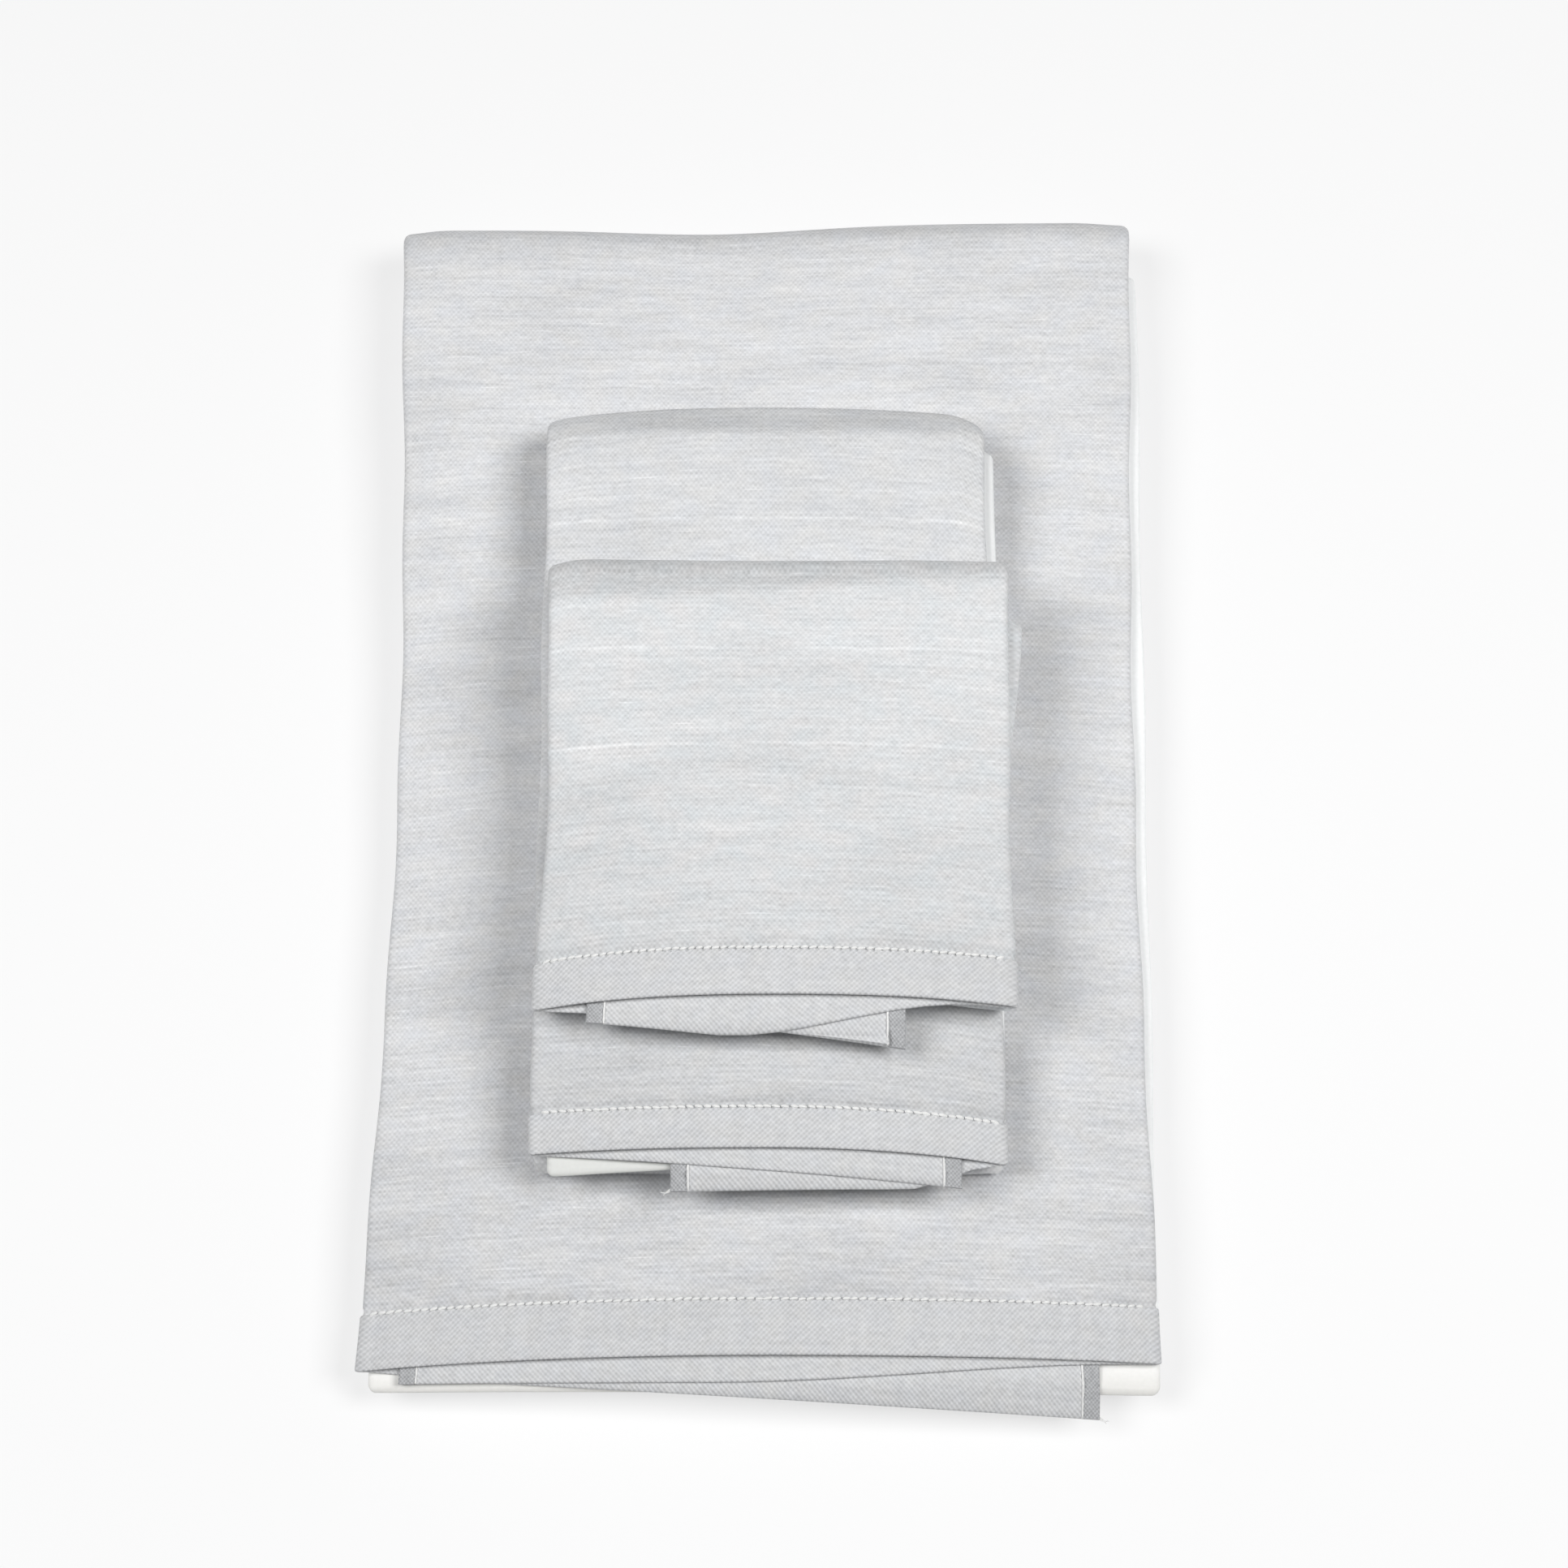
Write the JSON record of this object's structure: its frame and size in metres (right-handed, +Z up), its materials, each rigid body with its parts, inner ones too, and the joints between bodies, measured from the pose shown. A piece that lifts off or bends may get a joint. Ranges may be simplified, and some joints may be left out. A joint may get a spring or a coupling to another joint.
{
  "type": "folded towel set",
  "caption": "A neat stack of folded woven towels: a bath towel, a hand towel and a wash cloth, with sewn hems and white pads between the folds.",
  "frame": {"origin": "on the table under the middle of the folded bath towel", "axes": "+Z up, +Y towards the rear folds, +X to the right as seen from the hems in front"},
  "size_m": [0.22, 0.347, 0.074],
  "materials": {
    "towel_cloth": "matte pale grey woven cloth with slubs",
    "wash_cloth": "matte, slightly cooler pale grey woven cloth",
    "side_hem_tape": "matte darker grey turned side hem",
    "white_thread": "soft white sewing thread",
    "white_insert": "smooth soft white pad"
  },
  "bodies": {
    "bath_lower_half": {"bath_bottom_leaf": "towel_cloth", "bath_front_fold": "towel_cloth", "bath_lower_inner_back_fold": "towel_cloth", "bath_lower_outer_back_fold": "towel_cloth", "bath_lower_side_hems": "side_hem_tape", "bath_lower_side_stitching": "white_thread", "bath_third_leaf": "towel_cloth"},
    "bath_upper_half": {"bath_hem_stitching": "white_thread", "bath_insert": "white_insert", "bath_second_end_hem": "towel_cloth", "bath_second_leaf": "towel_cloth", "bath_top_end_hem": "towel_cloth", "bath_top_leaf": "towel_cloth", "bath_upper_inner_back_fold": "towel_cloth", "bath_upper_outer_back_fold": "towel_cloth", "bath_upper_side_hems": "side_hem_tape", "bath_upper_side_stitching": "white_thread"},
    "hand_lower_half": {"hand_bottom_leaf": "towel_cloth", "hand_front_fold": "towel_cloth", "hand_lower_inner_back_fold": "towel_cloth", "hand_lower_outer_back_fold": "towel_cloth", "hand_lower_side_hems": "side_hem_tape", "hand_lower_side_stitching": "white_thread", "hand_third_leaf": "towel_cloth"},
    "hand_upper_half": {"hand_hem_stitching": "white_thread", "hand_insert": "white_insert", "hand_second_end_hem": "towel_cloth", "hand_second_leaf": "towel_cloth", "hand_top_end_hem": "towel_cloth", "hand_top_leaf": "towel_cloth", "hand_upper_inner_back_fold": "towel_cloth", "hand_upper_outer_back_fold": "towel_cloth", "hand_upper_side_hems": "side_hem_tape", "hand_upper_side_stitching": "white_thread"},
    "wash_lower_leaves": {"wash_bottom_end_hem": "wash_cloth", "wash_bottom_leaf": "wash_cloth", "wash_front_fold": "wash_cloth", "wash_lower_back_fold": "wash_cloth", "wash_lower_side_hems": "side_hem_tape", "wash_lower_side_stitching": "white_thread", "wash_middle_leaf": "wash_cloth"},
    "wash_top": {"wash_hem_stitching": "white_thread", "wash_top_end_hem": "wash_cloth", "wash_top_leaf": "wash_cloth", "wash_upper_back_fold": "wash_cloth", "wash_upper_side_hems": "side_hem_tape", "wash_upper_side_stitching": "white_thread"}
  },
  "joints": [
    {"name": "bath_opening", "type": "hinge", "parent": "bath_lower_half", "child": "bath_upper_half", "pos_m": [0, 0.1735, 0.01305], "axis": [-1, 0, 0], "range_deg": [0, 12]},
    {"name": "hand_lift", "type": "slide", "parent": "bath_upper_half", "child": "hand_lower_half", "axis": [0, 0, 1], "range_m": [0, 0.12]},
    {"name": "hand_opening", "type": "hinge", "parent": "hand_lower_half", "child": "hand_upper_half", "pos_m": [0.001, 0.0965, 0.04115], "axis": [-1, 0, 0], "range_deg": [0, 12]},
    {"name": "wash_lift", "type": "slide", "parent": "hand_upper_half", "child": "wash_lower_leaves", "axis": [0, 0, 1], "range_m": [0, 0.12]},
    {"name": "wash_unfolding", "type": "hinge", "parent": "wash_lower_leaves", "child": "wash_top", "pos_m": [0.0035, 0.0465, 0.06775], "axis": [-1, 0, 0], "range_deg": [0, 180]}
  ]
}
